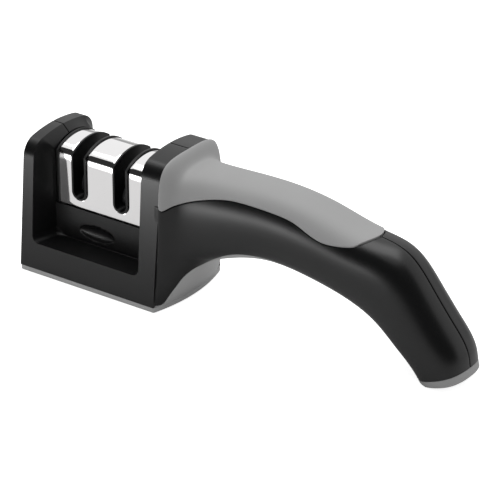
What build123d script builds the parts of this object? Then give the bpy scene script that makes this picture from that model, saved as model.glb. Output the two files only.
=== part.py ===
from build123d import *
import math
import os

# Pull-through knife sharpener. The head stands at the origin on its base pad, the handle arches
# towards +X, and the knife is drawn along Y. Z = 0 is the table. All sizes are in millimetres.

# Head
head_length = 66.0
head_depth = 44.9
left_cheek_height = 57.1
right_cheek_height = 62.8
left_cheek_thickness = 5.7
right_cheek_thickness = 8.9
left_lean_share = 0.0144
right_lean_share = 0.0234
front_lean_share = 0.0666
crown_radius = 62.0
cheek_corner_radius = 7.5
cheek_edge_radius = 0.7
shoulder_length = 3.7
recess_floor_height = 13.4
recess_fillet = 3.0
lip_radius = 0.6

# Wall below the slot cover, with the finger dimple
wall_thickness = 2.4
wall_edge_chamfer = 0.5
dimple_length = 17.0
dimple_height = 6.4
dimple_depth = 1.2
dimple_centre_height = 18.6
dimple_offset = -4.0

# Slot cover, slots and guides
cover_half_depth = 11.5
cover_middle = 2.5
cover_bottom_height = 27.5
cover_bend_height = 50.2
cover_top_height = 53.8
cover_thickness = 0.8
slot_pitch = 20.4
slot_middle = -2.3
slot_width = 7.3
slot_bottom_height = 30.9
rim_width = 0.9
rim_proud = 0.5
end_flange = 0.9

# Sharpening wheels on their axle
axle_radius = 1.5
axle_height = 34.2
axle_running_fit = 0.05
wheel_radius = 6.6
wheel_thickness = 3.6
wheel_gap = 0.3
wheel_angle = 20.0
hub_radius = 3.0
hub_half_length = 4.4
washer_thickness = 0.9
washer_radius = 3.4
wheel_clearance = 0.5
pocket_half_length = 5.5

# Swarf tray below the wheels
tray_bottom_height = 13.0
tray_floor = 1.8
tray_wall = 1.6

# Base pad, grip and foot, all in soft rubber
pad_thickness = 2.3
pad_edge_radius = 0.8
pad_reach = 1.5
heel_half_width = 14.4
skin_thickness = 2.2
grip_proud = 0.6
grip_gap = 0.3
rail_half_width = 6.5
foot_front_height = 7.9
foot_back_height = 0.0
foot_front_thickness = 4.0
foot_back_thickness = 2.3
foot_edge_radius = 1.2

# Handle
handle_length = 131.0
handle_rise = 59.0
handle_half_width = 12.7
handle_side_wall = 4.2
handle_top_wall = 9.6
handle_low_wall = 6.6
handle_rib_thickness = 1.6

# Shells and fasteners
fit_gap = 0.15
seam_width = 0.35
seam_depth = 0.6
base_wall = 2.6
base_rib = 2.0
boss_radius = 4.4
screw_radius = 1.4
screw_fit = 0.05
screw_head_radius = 2.7
screw_head_height = 1.8
screw_head_depth = 9.0
screw_tip_depth = 8.0
socket_radius = 1.3
socket_depth = 1.0
tray_screw_length = 7.0
overrun = 40.0

# Handle ribs, from the head to the tip. Each row gives the top point and the bottom point of one
# cross-section as shares of the handle's length and rise, then its half width as a share of the
# handle's half width, then how full its rounded quarters are (0.55 is an ellipse, 1 almost square).
rib_shares = (
    (0.0200, 1.0400, 0.0180, 0.1100, 1.500, 0.96),
    (0.0340, 0.9900, 0.0340, 0.1800, 1.350, 0.88),
    (0.0620, 0.9660, 0.0620, 0.2600, 1.180, 0.80),
    (0.1500, 0.9770, 0.1500, 0.3700, 1.060, 0.74),
    (0.3400, 0.9900, 0.3300, 0.4750, 1.008, 0.69),
    (0.5115, 0.9408, 0.4800, 0.4520, 1.000, 0.69),
    (0.6510, 0.8660, 0.5760, 0.4080, 0.992, 0.70),
    (0.7470, 0.8300, 0.6300, 0.3680, 0.992, 0.70),
    (0.7850, 0.7910, 0.6560, 0.3450, 0.992, 0.70),
    (0.8660, 0.5970, 0.7170, 0.2720, 0.992, 0.70),
    (0.9340, 0.4050, 0.7720, 0.1720, 0.988, 0.70),
    (0.9900, 0.2030, 0.8380, 0.0400, 0.975, 0.70),
    (1.0190, 0.0550, 0.8860, -0.1000, 0.950, 0.70),
)

# Side outline of the grip's lower edge, from the head to the end of its tongue, as shares of the
# handle's length and rise.
grip_edge_shares = (
    (0.000, 0.750),
    (0.065, 0.802),
    (0.137, 0.854),
    (0.221, 0.893),
    (0.298, 0.900),
    (0.382, 0.893),
    (0.450, 0.869),
    (0.504, 0.824),
    (0.546, 0.800),
    (0.592, 0.802),
    (0.640, 0.825),
    (0.677, 0.851),
    (0.700, 0.866),
)

# Side outline of the heel's upper edge, from the base pad to where it runs out under the handle.
heel_edge_shares = (
    (0.005, 0.140),
    (0.025, 0.240),
    (0.055, 0.330),
    (0.095, 0.395),
    (0.140, 0.440),
    (0.200, 0.482),
    (0.280, 0.520),
    (0.370, 0.525),
    (0.460, 0.480),
    (0.530, 0.400),
)

handle_boss_ribs = (3, 9)
hollow_ribs = (3, 10)
handle_web_ribs = (4, 5, 6)

wall_half_depth = cover_half_depth + rim_proud
wall_range = (cover_middle - wall_half_depth, cover_middle + wall_half_depth)
slot_centres = (slot_middle - slot_pitch / 2, slot_middle + slot_pitch / 2)
stage_names = ("coarse", "fine")
half_length = head_length / 2
half_depth = head_depth / 2
opening_left = -half_length + left_cheek_thickness
opening_right = half_length - right_cheek_thickness + right_lean_share * cover_top_height
bay_left = opening_left + shoulder_length
bay_right = opening_right - shoulder_length
flange_left = bay_left + fit_gap
flange_right = bay_right - fit_gap
cover_left = flange_left + end_flange
cover_right = flange_right - end_flange
tray_half_depth = wall_half_depth - wall_thickness - fit_gap

os.makedirs("parts", exist_ok=True)


def save(name, part):
    """Write one named piece as a STEP file."""
    part.label = name
    export_step(part, f"parts/{name}.step")
    print(name, len(part.solids()), "solids", round(part.volume, 1), "mm3")


def block(x_range, y_range, z_range):
    """A plain box between two limits on each axis."""
    size = [high - low for low, high in (x_range, y_range, z_range)]
    middle = [(low + high) / 2 for low, high in (x_range, y_range, z_range)]
    return Pos(*middle) * Box(*size)


def rod_x(radius, x_range, y, z):
    """A round bar along X."""
    low, high = x_range
    return Pos((low + high) / 2, y, z) * Rot(0, 90, 0) * Cylinder(radius, high - low)


def rod_y(radius, x, y_range, z):
    """A round bar along Y."""
    low, high = y_range
    return Pos(x, (low + high) / 2, z) * Rot(90, 0, 0) * Cylinder(radius, high - low)


def rod_z(radius, x, y, z_range):
    """A round bar along Z."""
    low, high = z_range
    return Pos(x, y, (low + high) / 2) * Cylinder(radius, high - low)


def side_prism(face_edges, half_width):
    """Extrude a closed outline drawn in the side view (X, Z) equally to both sides of Y = 0."""
    return extrude(Face(Wire(face_edges)), amount=half_width, dir=(0, 1, 0), both=True)


def rib_row(index):
    """Top point, bottom point, half width and fullness of one handle rib in millimetres."""
    top_x, top_z, low_x, low_z, width, full = rib_shares[index]
    top = Vector(half_length + top_x * handle_length, 0, top_z * handle_rise)
    low = Vector(half_length + low_x * handle_length, 0, low_z * handle_rise)
    return top, low, width * handle_half_width, full


def quarter_section(top, low, half_width, full):
    """A closed cross-section of four Bezier quarters through its top, its bottom and both sides."""
    middle = (top + low) * 0.5
    up = (top - low) * 0.5
    side = Vector(0, half_width, 0)
    corners = (up, side, up * -1, side * -1)
    edges = []
    for start, end in zip(corners, corners[1:] + corners[:1]):
        edges.append(Bezier(middle + start, middle + start + end * full,
                            middle + end + start * full, middle + end))
    return Face(Wire(edges))


def handle_form(inset):
    """The handle as one smooth loft through its ribs, drawn in by an inset on every side."""
    root_x = half_length - cheek_edge_radius
    root_top = Vector(root_x, 0, right_cheek_height - grip_proud - inset)
    root_low = Vector(root_x, 0, pad_thickness / 2 + inset)
    root_half = half_depth - front_lean_share * right_cheek_height / 2 - lip_radius
    sections = [quarter_section(root_top, root_low, root_half - inset, rib_shares[0][5])]
    for index in range(len(rib_shares)):
        top, low, half_width, full = rib_row(index)
        inward = (low - top).normalized() * inset
        sections.append(quarter_section(top + inward, low - inward, half_width - inset, full))
    return loft(sections)


def rib_outline(first, last, top_inset, low_inset):
    """A closed side outline between two ribs, drawn in from the handle's top and bottom lines."""
    tops, lows = [], []
    for index in range(first, last + 1):
        top, low, _, _ = rib_row(index)
        inward = (low - top).normalized()
        tops.append(top + inward * top_inset)
        lows.append(low - inward * low_inset)
    return [Spline(*tops), Line(tops[-1], lows[-1]), Spline(*lows), Line(lows[0], tops[0])]


def grip_rail():
    """The rail along the top of the shells that the grip is moulded over."""
    tops, end, lows, _ = rib_outline(0, len(rib_shares) - 1, skin_thickness - grip_proud, handle_low_wall)
    root_x = half_length - cheek_edge_radius
    root_top = Vector(root_x, 0, (tops @ 0).Z)
    root_low = Vector(root_x, 0, (lows @ 0).Z)
    outline = [tops, end, lows, Line(lows @ 0, root_low), Line(root_low, root_top), Line(root_top, tops @ 0)]
    return side_prism(outline, rail_half_width)


def cheek_profile(height, inset=0.0, foot=0.0):
    """End view (Y, Z) of a cheek: leaning front and back, a crowned top and round corners."""
    top = height - inset
    front_at_base = half_depth - inset
    shoulder = front_at_base - front_lean_share * top
    drop = crown_radius - math.sqrt(crown_radius ** 2 - shoulder ** 2)
    edges = [
        Line((-front_at_base, foot), (front_at_base, foot)),
        Line((front_at_base, foot), (shoulder, top - drop)),
        ThreePointArc((shoulder, top - drop), (0, top), (-shoulder, top - drop)),
        Line((-shoulder, top - drop), (-front_at_base, foot)),
    ]
    face = Face(Wire(edges))
    upper = face.vertices().sort_by(Axis.Y)[-2:]
    return fillet(upper, cheek_corner_radius)


def cover_profile(grow, foot):
    """End view (Y, Z) of the slot cover: upright sides that bend into an arched top."""
    front = cover_middle - cover_half_depth - grow
    rear = cover_middle + cover_half_depth + grow
    top = cover_top_height + grow
    edges = [
        Line((front, foot), (rear, foot)),
        Line((rear, foot), (rear, cover_bend_height)),
        ThreePointArc((rear, cover_bend_height), (cover_middle, top), (front, cover_bend_height)),
        Line((front, cover_bend_height), (front, foot)),
    ]
    return Face(Wire(edges))


def along_x(profile, x):
    """Stand an end-view profile upright in the plane at one X."""
    plane = Plane(origin=(x, 0, 0), x_dir=(0, 1, 0), z_dir=(1, 0, 0))
    return plane * profile


def prism_x(profile, x_range):
    """Extrude an end-view profile between two X values."""
    low, high = x_range
    return extrude(along_x(profile, low), amount=high - low, dir=(1, 0, 0))


def head_form(inset):
    """The saddle-shaped head: two cheeks, the shoulders between them and the low body."""
    foot = pad_thickness
    left_face = cheek_profile(left_cheek_height, inset, foot)
    right_face = cheek_profile(right_cheek_height, inset, foot)
    low_body = extrude(
        along_x(Pos(0, (foot + recess_floor_height) / 2)
                * Rectangle(head_depth, recess_floor_height - foot), opening_left),
        amount=opening_right - opening_left, dir=(1, 0, 0))
    low_body &= prism_x(right_face, (-half_length, half_length))
    low_body = fillet(low_body.edges().filter_by(Axis.X).group_by(Axis.Z)[-1], lip_radius)
    left_cheek = prism_x(left_face, (-half_length - overrun, opening_left))
    right_cheek = prism_x(right_face, (opening_right, half_length + overrun))
    collar = cover_profile(rim_proud - inset, foot)
    left_shoulder = loft([along_x(left_face, opening_left), along_x(collar, bay_left)], ruled=True)
    right_shoulder = loft([along_x(collar, bay_right), along_x(right_face, opening_right)], ruled=True)
    wall = block((bay_left, bay_right), wall_range, (foot, cover_bottom_height - grip_gap))
    wall = chamfer(wall.edges().filter_by(Axis.X).group_by(Axis.Z)[-1], wall_edge_chamfer)
    form = left_cheek + left_shoulder + low_body + wall + right_shoulder + right_cheek
    left_foot = -half_length + left_lean_share * foot
    right_foot = half_length + right_lean_share * foot
    left_top = -half_length + left_lean_share * right_cheek_height
    right_top = half_length + right_lean_share * right_cheek_height
    envelope = side_prism([
        Line((left_foot + inset, 0, foot), (right_foot - inset, 0, foot)),
        Line((right_foot - inset, 0, foot), (right_top - inset, 0, right_cheek_height)),
        Line((right_top - inset, 0, right_cheek_height), (left_top + inset, 0, right_cheek_height)),
        Line((left_top + inset, 0, right_cheek_height), (left_foot + inset, 0, foot)),
    ], overrun)
    return form & envelope


def corner_bosses():
    """Middles (X, Z) of the two screw bosses low in the head."""
    height = (pad_thickness + recess_floor_height) / 2
    return ((opening_left, height), (opening_right, height))


def handle_bosses():
    """Middles (X, Z) of the two screw bosses in the handle."""
    places = []
    for index in handle_boss_ribs:
        top, low, _, _ = rib_row(index)
        middle = (top + low) * 0.5
        places.append((middle.X, middle.Z))
    return places


def side_points(shares):
    """Turn side-outline shares into points in millimetres."""
    return [(half_length + x * handle_length, 0, z * handle_rise) for x, z in shares]


def grip_prism(gap):
    """Everything above the grip's lower edge, from the right cheek to the end of its tongue."""
    points = [(x, y, z - gap) for x, y, z in side_points(grip_edge_shares)]
    tongue_x, _, tongue_z = points[-1]
    high = handle_rise + overrun
    start = half_length + grip_gap - gap + right_lean_share * points[0][2]
    high_start = half_length + grip_gap - gap + right_lean_share * high
    points[0] = (start, 0, points[0][2])
    edges = [
        Spline(*points),
        Line((tongue_x, 0, tongue_z), (tongue_x + overrun, 0, tongue_z + overrun)),
        Line((tongue_x + overrun, 0, tongue_z + overrun), (tongue_x + overrun, 0, high)),
        Line((tongue_x + overrun, 0, high), (high_start, 0, high)),
        Line((high_start, 0, high), points[0]),
    ]
    return side_prism(edges, overrun)


def heel_prism():
    """Everything below the heel's upper edge, from the base pad to where the heel runs out."""
    points = side_points(heel_edge_shares)
    end_x = points[-1][0]
    start_x, _, start_z = points[0]
    edges = [
        Spline(*points),
        Line(points[-1], (end_x, 0, -overrun)),
        Line((end_x, 0, -overrun), (half_length - overrun, 0, -overrun)),
        Line((half_length - overrun, 0, -overrun), (half_length - overrun, 0, start_z)),
        Line((half_length - overrun, 0, start_z), points[0]),
    ]
    prism = side_prism(edges, overrun)
    return prism & block((half_length, end_x), (-heel_half_width, heel_half_width),
                         (pad_thickness / 2, overrun))


def foot_prism(back_height, front_height):
    """Everything at the handle's tip below the straight line through its back and front heights."""
    _, back, _, _ = rib_row(len(rib_shares) - 2)
    back_x = back.X
    front_x = half_length + handle_length
    rise = (front_height - back_height) * overrun / (front_x - back_x)
    outline = Polyline((back_x - overrun, 0, back_height - rise), (front_x + overrun, 0, front_height + rise),
                       (front_x + overrun, 0, -overrun), (back_x - overrun, 0, -overrun), close=True)
    return side_prism(outline.edges(), overrun)


def slot_prism(centre, half_width, half_depth_y):
    """A round-bottomed slot that is open at the top, cut along Y."""
    bend = slot_bottom_height + slot_width / 2
    high = cover_top_height + overrun
    edges = [
        ThreePointArc((centre - half_width, 0, bend), (centre, 0, bend - half_width),
                      (centre + half_width, 0, bend)),
        Line((centre + half_width, 0, bend), (centre + half_width, 0, high)),
        Line((centre + half_width, 0, high), (centre - half_width, 0, high)),
        Line((centre - half_width, 0, high), (centre - half_width, 0, bend)),
    ]
    return side_prism(edges, half_depth_y)


def wheel_room(centre, radius):
    """The round space that one pair of wheels turns in."""
    x_range = (centre - pocket_half_length, centre + pocket_half_length)
    return rod_x(radius, x_range, cover_middle, axle_height)


def dimple(side):
    """A shallow dish for a fingertip: a flat arc revolved about a line that lies off the wall."""
    across_radius = ((dimple_height / 2) ** 2 + dimple_depth ** 2) / (2 * dimple_depth)
    middle_y = cover_middle + side * (wall_half_depth + across_radius - dimple_depth)
    reach = dimple_length / 2
    edge = across_radius - dimple_depth
    middle_z = dimple_centre_height
    outline = [
        ThreePointArc((dimple_offset - reach, middle_y, middle_z + edge),
                      (dimple_offset, middle_y, middle_z + across_radius),
                      (dimple_offset + reach, middle_y, middle_z + edge)),
        Line((dimple_offset + reach, middle_y, middle_z + edge), (dimple_offset + reach, middle_y, middle_z)),
        Line((dimple_offset + reach, middle_y, middle_z), (dimple_offset - reach, middle_y, middle_z)),
        Line((dimple_offset - reach, middle_y, middle_z), (dimple_offset - reach, middle_y, middle_z + edge)),
    ]
    return revolve(Face(Wire(outline)), Axis((0, middle_y, middle_z), (1, 0, 0)))


def head_with_details():
    """The head with its filleted recesses, finger dimples and softened edges."""
    head = head_form(0.0)
    left_end = head.faces().sort_by(Axis.X)[0]
    head = fillet(left_end.edges().sort_by(Axis.Z)[1:], cheek_edge_radius)
    inner = []
    for edge in head.edges().filter_by(Axis.X):
        point = edge @ 0.5
        on_floor = abs(point.Z - recess_floor_height) < fit_gap
        off_front = abs(point.Y) < half_depth - recess_fillet
        if on_floor and off_front and bay_left - fit_gap < point.X < bay_right + fit_gap:
            if abs(abs(point.Y - cover_middle) - wall_half_depth) < fit_gap:
                inner.append(edge)
    head = fillet(inner, recess_fillet)
    for side in (-1, 1):
        head -= dimple(side)
    return head


def make_shells(head, handle):
    """The two black half shells, split on the seam plane, with their bosses and pockets."""
    body = head + handle
    hollow = rib_outline(*hollow_ribs, handle_top_wall, handle_low_wall)
    cavity = side_prism(hollow, handle_half_width - handle_side_wall)
    for x, z in handle_bosses():
        cavity -= rod_y(boss_radius, x, (-overrun, overrun), z)
    for index in handle_web_ribs:
        top, low, _, _ = rib_row(index)
        x = (top.X + low.X) / 2
        cavity -= block((x, x + handle_rib_thickness), (-overrun, overrun), (0, 2 * overrun))
    body -= cavity
    body -= block((bay_left, bay_right), (wall_range[0] + wall_thickness, wall_range[1] - wall_thickness),
                  (tray_bottom_height - fit_gap, 2 * overrun))
    reach = (half_length - base_wall, base_rib / 2)
    for sign in (-1, 1):
        for side in (-1, 1):
            x_range = sorted(sign * value for value in reach)
            y_range = sorted((side * base_rib / 2, side * (half_depth - 2 * base_wall)))
            pocket = block(x_range, y_range, (0, recess_floor_height - base_wall))
            for x, z in corner_bosses():
                pocket -= rod_y(boss_radius, x, (-overrun, overrun), z)
            body -= pocket
    body -= grip_prism(grip_gap) - grip_rail()
    body -= heel_prism()
    body -= foot_prism(foot_back_height, foot_front_height)
    body -= block((-2 * overrun, 2 * overrun), (-overrun, overrun), (-overrun, pad_thickness))
    for x, z in (*corner_bosses(), *handle_bosses()):
        body -= rod_y(screw_radius + screw_fit, x, (-screw_tip_depth - socket_depth, overrun), z)
        body -= rod_y(screw_head_radius + fit_gap, x, (screw_head_depth, overrun), z)
    inner = head_form(seam_depth) + handle_form(seam_depth)
    body -= block((-overrun, 5 * overrun), (-seam_width / 2, seam_width / 2), (0, 2 * overrun)) - inner
    front = split(body, bisect_by=Plane.XZ, keep=Keep.TOP)
    rear = split(body, bisect_by=Plane.XZ, keep=Keep.BOTTOM)
    return front, rear


def make_screws():
    """The four screws that draw the half shells together, as one group."""
    group = []
    for x, z in (*corner_bosses(), *handle_bosses()):
        shank = rod_y(screw_radius, x, (-screw_tip_depth, screw_head_depth), z)
        head = rod_y(screw_head_radius, x, (screw_head_depth, screw_head_depth + screw_head_height), z)
        socket = rod_y(socket_radius, x, (screw_head_depth + screw_head_height - socket_depth, overrun), z)
        group.append(shank + head - socket)
    return Compound(children=group)


def make_cover():
    """The arched chrome cover with its two slots."""
    outer = prism_x(cover_profile(0.0, cover_bottom_height), (cover_left, cover_right))
    inner = prism_x(cover_profile(-cover_thickness, 0.0), (cover_left - overrun, cover_right + overrun))
    cover = outer - inner
    for centre in slot_centres:
        cover -= slot_prism(centre, slot_width / 2, overrun)
    return cover


def make_frame():
    """The black frame inside the cover, with the wheel pockets, axle bore and end flanges."""
    inner_grow = -cover_thickness - screw_fit
    frame = prism_x(cover_profile(inner_grow, cover_bottom_height), (cover_left, cover_right))
    frame += prism_x(cover_profile(rim_proud, cover_bottom_height), (flange_left, cover_left))
    frame += prism_x(cover_profile(rim_proud, cover_bottom_height), (cover_right, flange_right))
    for centre in slot_centres:
        room = wheel_radius + wheel_clearance
        frame -= slot_prism(centre, slot_width / 2, overrun)
        frame -= wheel_room(centre, room)
        frame -= block((centre - pocket_half_length, centre + pocket_half_length),
                       (cover_middle - room, cover_middle + room), (0, axle_height))
    frame -= rod_x(axle_radius + screw_fit, (flange_left + end_flange / 2, flange_right + overrun),
                   cover_middle, axle_height)
    for x in tray_screw_places():
        frame -= rod_z(screw_radius + screw_fit, x, cover_middle, (0, tray_top() + tray_screw_length / 2))
    return frame


def tray_top():
    """Height of the tray's rim, just under the frame."""
    return cover_bottom_height - screw_fit


def tray_screw_places():
    """X of the two screws that hold the tray under the frame's end walls."""
    left = (cover_left + slot_centres[0] - pocket_half_length) / 2
    right = (cover_right + slot_centres[1] + pocket_half_length) / 2
    return left, right


def make_tray():
    """The tray under the wheels, which closes the frame and catches the filings."""
    front = cover_middle - tray_half_depth
    rear = cover_middle + tray_half_depth
    tray = block((cover_left, cover_right), (front, rear), (tray_bottom_height, tray_top()))
    for centre in slot_centres:
        tray -= block((centre - pocket_half_length, centre + pocket_half_length),
                      (front + tray_wall, rear - tray_wall), (tray_bottom_height + tray_floor, overrun))
    seat = tray_top() - tray_screw_length
    for x in tray_screw_places():
        tray -= rod_z(screw_radius + screw_fit, x, cover_middle, (0, overrun))
        tray -= rod_z(screw_head_radius + fit_gap, x, cover_middle, (0, seat))
    return tray


def make_tray_screws():
    """The two screws under the tray, as one group."""
    group = []
    seat = tray_top() - tray_screw_length
    for x in tray_screw_places():
        shank = rod_z(screw_radius, x, cover_middle,
                      (seat, tray_top() + tray_screw_length / 2 - screw_fit))
        head = rod_z(screw_head_radius, x, cover_middle, (seat - screw_head_height, seat))
        socket = rod_z(socket_radius, x, cover_middle, (0, seat - screw_head_height + socket_depth))
        group.append(shank + head - socket)
    return Compound(children=group)


def make_guide(centre):
    """The U-shaped liner of one slot, whose rim stands proud of the cover."""
    outer = slot_prism(centre, slot_width / 2 - screw_fit, overrun)
    inner = slot_prism(centre, slot_width / 2 - rim_width, 2 * overrun)
    liner = (outer - inner) & prism_x(cover_profile(rim_proud, cover_bottom_height),
                                      (cover_left, cover_right))
    return liner - wheel_room(centre, wheel_radius + wheel_clearance)


def make_wheel(centre, side):
    """One cone-faced grinding wheel, a ring revolved about the axle."""
    bore = hub_radius + screw_fit
    rise = (wheel_radius - bore) * math.tan(math.radians(wheel_angle))
    near = centre + side * wheel_gap / 2
    far = near + side * wheel_thickness
    bevel = wheel_gap
    points = [
        (near, cover_middle, axle_height + bore),
        (near + side * rise, cover_middle, axle_height + wheel_radius),
        (far - side * bevel, cover_middle, axle_height + wheel_radius),
        (far, cover_middle, axle_height + wheel_radius - bevel),
        (far, cover_middle, axle_height + bore),
    ]
    face = Face(Wire(Polyline(*points, close=True).edges()))
    return revolve(face, Axis((0, cover_middle, axle_height), (1, 0, 0)))


def make_tube(outer, inner, x_range):
    """A plain tube along the axle."""
    return rod_x(outer, x_range, cover_middle, axle_height) - rod_x(inner, x_range, cover_middle, axle_height)


def make_washers(centre):
    """The two thrust washers beside one pair of wheels, as one group."""
    start = pocket_half_length - washer_thickness - fit_gap / 2
    group = []
    for side in (-1, 1):
        x_range = sorted((centre + side * start, centre + side * (start + washer_thickness)))
        group.append(make_tube(washer_radius, axle_radius + screw_fit, x_range))
    return Compound(children=group)


def make_pad(handle):
    """The base pad with the heel that sweeps up under the handle, in one moulding."""
    plate = block((-half_length, half_length + pad_reach), (-half_depth, half_depth), (0, pad_thickness))
    low_edges = plate.edges().group_by(Axis.Z)[0]
    plate = fillet(low_edges, pad_edge_radius)
    return plate + (handle & heel_prism())


def make_grip():
    """The soft grip: a collar over the right cheek that runs into a tongue along the handle."""
    return (handle_form(-grip_proud) - grip_rail()) & grip_prism(0.0)


def make_foot(handle):
    """The cap on the handle's tip. Its tilted end rises from a short flat that stands on the table."""
    foot = handle & foot_prism(foot_back_height, foot_front_height)
    foot -= foot_prism(foot_back_height - foot_back_thickness, foot_front_height - foot_front_thickness)
    foot -= block((0, half_length + 2 * handle_length), (-overrun, overrun), (-overrun, 0))
    tilted = foot.faces().filter_by(GeomType.PLANE).sort_by(Axis.X)[-2:].sort_by(Axis.Z)[0]
    return fillet(tilted.edges().sort_by(Axis.X)[1:], foot_edge_radius)


head = head_with_details()
handle = handle_form(0.0)
front_shell, rear_shell = make_shells(head, handle)
save("front_shell", front_shell)
save("rear_shell", rear_shell)
save("top_grip", make_grip())
save("base_pad", make_pad(handle))
save("tip_foot", make_foot(handle))
save("slot_cover", make_cover())
save("cartridge_frame", make_frame())
save("swarf_tray", make_tray())
save("tray_screws", make_tray_screws())
save("shell_screws", make_screws())
save("wheel_axle", rod_x(axle_radius, (flange_left + end_flange, flange_right), cover_middle, axle_height))
for stage, centre in zip(stage_names, slot_centres):
    save(f"{stage}_slot_guide", make_guide(centre))
    save(f"{stage}_wheel_left", make_wheel(centre, -1))
    save(f"{stage}_wheel_right", make_wheel(centre, 1))
    save(f"{stage}_hub", make_tube(hub_radius, axle_radius + axle_running_fit,
                                   (centre - hub_half_length, centre + hub_half_length)))
    save(f"{stage}_washers", make_washers(centre))
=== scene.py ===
import math

import bmesh
import bpy
import numpy as np
from mathutils import Matrix, Vector


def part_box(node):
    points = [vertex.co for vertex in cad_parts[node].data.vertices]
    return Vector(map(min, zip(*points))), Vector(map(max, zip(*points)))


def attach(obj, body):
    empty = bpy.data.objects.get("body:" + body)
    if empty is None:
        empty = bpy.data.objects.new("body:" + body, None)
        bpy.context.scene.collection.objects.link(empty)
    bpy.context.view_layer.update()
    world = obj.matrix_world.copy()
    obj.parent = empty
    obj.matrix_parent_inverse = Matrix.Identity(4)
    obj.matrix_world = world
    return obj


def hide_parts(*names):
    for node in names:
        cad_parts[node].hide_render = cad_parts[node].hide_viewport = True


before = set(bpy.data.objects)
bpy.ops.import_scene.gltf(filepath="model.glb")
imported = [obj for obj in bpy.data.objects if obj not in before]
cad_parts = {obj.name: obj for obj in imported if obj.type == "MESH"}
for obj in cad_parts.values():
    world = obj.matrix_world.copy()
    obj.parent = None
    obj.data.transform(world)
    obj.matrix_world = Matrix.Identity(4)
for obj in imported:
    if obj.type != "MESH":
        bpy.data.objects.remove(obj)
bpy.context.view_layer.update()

# The studio. A pale table under a white room with a broad soft light above, and painted reflections that
# only the mirrors see: a faintly glowing dark sheet round the camera's side, a glowing grey sheet behind
# and a painted pool of light on the table.
mm = 0.001
camera_turn = 35.0895
camera_rise = 26.8868
camera_roll = 0.0519
camera_distance = 1208.04
camera_left = 51.8381
camera_down = 7.8781
camera_lens_share = 3018.95 / 500
sensor_width = 36
room_light = 0.55
floor_reach = 4000
floor_grey = 0.8
floor_glow = 0.82
pool_place = (-75, -250, 0)
pool_inner = 80
pool_outer = 150
pool_glow = 7.0
card_radius = 1700
card_steps = 40
white_paint = (1, 1, 1, 1)


def put(name, data):
    """Make an object from its data, link it into the scene and return it."""
    thing = bpy.data.objects.new(name, data)
    bpy.context.scene.collection.objects.link(thing)
    return thing


def bare_tree(owner):
    """Turn on the nodes of a material or world and return its emptied tree."""
    owner.use_nodes = True
    owner.node_tree.nodes.clear()
    return owner.node_tree


def make_node(tree, kind, **inputs):
    """Add a shader node, set its settings and plain inputs by name and return it."""
    node = tree.nodes.new(kind)
    for key, value in inputs.items():
        if hasattr(node, key):
            setattr(node, key, value)
        else:
            node.inputs[key.replace("_", " ")].default_value = value
    return node


def link(source, output, target, socket):
    """Join an output of one shader node to an input of another."""
    source.id_data.links.new(source.outputs[output], target.inputs[socket])


def aim(thing, place, target):
    """Stand a lamp or camera at a place in millimetres and turn it to face a target."""
    thing.location = Vector(place) * mm
    way = (Vector(target) - Vector(place)) * mm
    thing.rotation_euler = way.to_track_quat("-Z", "Y").to_euler()


def make_camera():
    """The camera looks down the line fitted to the photograph's edges, with no shift."""
    turn, rise = math.radians(camera_turn), math.radians(camera_rise)
    back = Vector((math.sin(turn) * math.cos(rise), -math.cos(turn) * math.cos(rise), math.sin(rise)))
    level = Vector((math.cos(turn), math.sin(turn), 0))
    right = Matrix.Rotation(math.radians(camera_roll), 3, back) @ level
    up = back.cross(right)
    data = bpy.data.cameras.new("camera")
    data.sensor_width = sensor_width
    data.lens = camera_lens_share * sensor_width
    data.clip_start, data.clip_end = 0.05, 20
    camera = put("camera", data)
    camera.location = (back * camera_distance + right * camera_left + up * camera_down) * mm
    camera.rotation_euler = Matrix((right, up, back)).transposed().to_euler()
    bpy.context.scene.camera = camera


def make_room():
    """White to the camera, in mirrors and through clear things, and a softer light on the object."""
    world = bpy.data.worlds.new("studio")
    bpy.context.scene.world = world
    tree = bare_tree(world)
    path = make_node(tree, "ShaderNodeLightPath")
    seen = make_node(tree, "ShaderNodeMath", operation="MAXIMUM")
    link(path, "Is Camera Ray", seen, 0)
    link(path, "Is Glossy Ray", seen, 1)
    through = make_node(tree, "ShaderNodeMath", operation="MAXIMUM")
    link(seen, 0, through, 0)
    link(path, "Is Transmission Ray", through, 1)
    soft = make_node(tree, "ShaderNodeBackground", Color=white_paint, Strength=room_light)
    white = make_node(tree, "ShaderNodeBackground", Color=white_paint, Strength=1.0)
    mix = make_node(tree, "ShaderNodeMixShader")
    out = make_node(tree, "ShaderNodeOutputWorld")
    link(through, 0, mix, 0)
    link(soft, 0, mix, 1)
    link(white, 0, mix, 2)
    link(mix, 0, out, 0)


def make_lamp(name, place, target, size, power):
    """A soft box: a rectangular lamp of a given size in millimetres."""
    data = bpy.data.lights.new(name, "AREA")
    data.shape = "RECTANGLE"
    data.size, data.size_y = size[0] * mm, size[1] * mm
    data.energy = power
    aim(put(name, data), place, target)


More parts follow.
